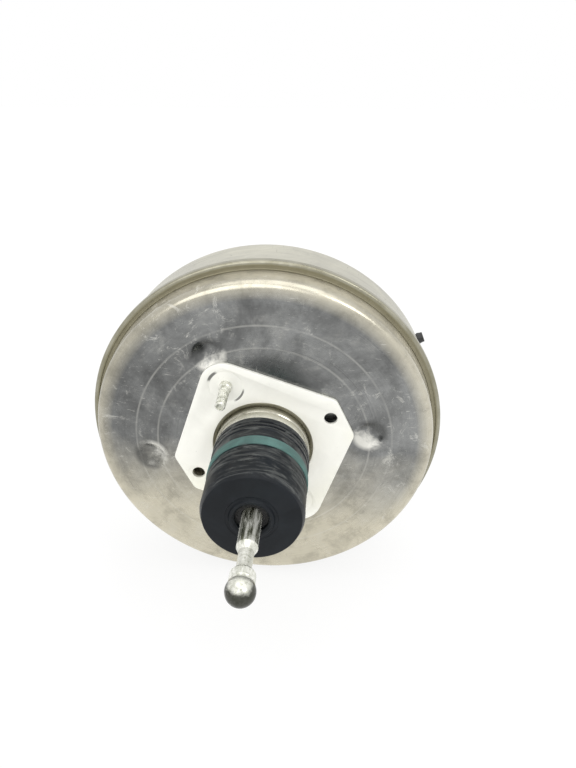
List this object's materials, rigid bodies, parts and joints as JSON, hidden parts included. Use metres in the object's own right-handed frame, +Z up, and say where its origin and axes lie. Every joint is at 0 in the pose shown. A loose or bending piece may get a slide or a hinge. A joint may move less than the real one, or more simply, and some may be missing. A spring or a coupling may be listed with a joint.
{
  "type": "vacuum brake booster",
  "caption": "Vacuum brake booster: pressed drum with diaphragm and control valve, pedal rod with ball end, rubber boot, mounting plate with studs, and a hose check valve.",
  "frame": {"origin": "centre of the mounting plate's rear face, on the booster's axis", "axes": "+Y along the axis from the pedal towards the master cylinder, +Z up, +X to the right seen from the pedal side"},
  "size_m": [0.29, 0.3014, 0.29],
  "materials": {
    "rear_shell": "bare satin pressed sheet, lightly scuffed",
    "front_shell": "bare pressed sheet with a light scratched skin",
    "plate": "pale zinc-plated sheet",
    "stud": "zinc-plated",
    "zinc_steel": "zinc-plated, satin",
    "spring_steel": "drawn wire",
    "guide_plastic": "moulded, self-lubricating",
    "hub_plastic": "glass-filled moulding",
    "black_plastic": "moulded",
    "boot_rubber": "moulded black",
    "band_rubber": "dusty teal",
    "seal_rubber": "moulded black",
    "filter_foam": "open foam",
    "filter_felt": "pressed felt"
  },
  "bodies": {
    "housing": {"rear_shell": "rear_shell", "front_shell": "front_shell", "mounting_plate": "plate", "mounting_studs": "stud", "guide_bush": "guide_plastic", "rear_seal": "seal_rubber", "seal_retainer": "black_plastic", "dust_boot": "boot_rubber", "boot_band": "band_rubber", "front_brace": "zinc_steel", "master_cylinder_studs": "stud", "front_seal": "seal_rubber", "return_spring": "spring_steel", "valve_grommet": "seal_rubber", "check_valve_body": "black_plastic", "check_valve_cap": "black_plastic", "check_valve_spring": "spring_steel"},
    "power_piston": {"valve_body": "hub_plastic", "diaphragm_plate": "zinc_steel", "diaphragm": "seal_rubber", "reaction_disc": "seal_rubber", "output_rod": "zinc_steel", "output_rod_cap": "zinc_steel", "poppet_valve": "seal_rubber", "poppet_retainer": "zinc_steel", "poppet_spring": "spring_steel", "rod_return_spring": "spring_steel", "air_filter": "filter_foam", "air_silencer": "filter_felt"},
    "control_plunger": {"valve_plunger": "zinc_steel", "stop_key": "zinc_steel"},
    "pedal_rod": {"input_rod": "zinc_steel", "rod_spring_seat": "zinc_steel"},
    "check_valve_plate": {"check_valve_disc": "seal_rubber"}
  },
  "joints": [
    {"name": "power_stroke", "type": "slide", "parent": "housing", "child": "power_piston", "axis": [0, 1, 0], "range_m": [0, 0.034], "stiffness_N_per_m": 2500, "springref_m": -0.02, "deforming": ["dust_boot", "boot_band", "diaphragm", "return_spring"]},
    {"name": "valve_travel", "type": "slide", "parent": "power_piston", "child": "control_plunger", "axis": [0, 1, 0], "range_m": [0, 0.0016], "stiffness_N_per_m": 3000, "springref_m": -0.006, "deforming": ["poppet_valve", "poppet_spring", "rod_return_spring"]},
    {"name": "rod_swing", "type": "hinge", "parent": "control_plunger", "child": "pedal_rod", "pos_m": [0, -0.03, 0], "axis": [1, 0, 0], "range_deg": [-4, 4], "stiffness_Nm_per_rad": 40, "deforming": ["air_filter", "air_silencer"]},
    {"name": "check_valve_lift", "type": "slide", "parent": "housing", "child": "check_valve_plate", "axis": [0, 1, 0], "range_m": [0, 0.0015], "stiffness_N_per_m": 40, "springref_m": -0.003, "deforming": ["check_valve_spring"]}
  ]
}
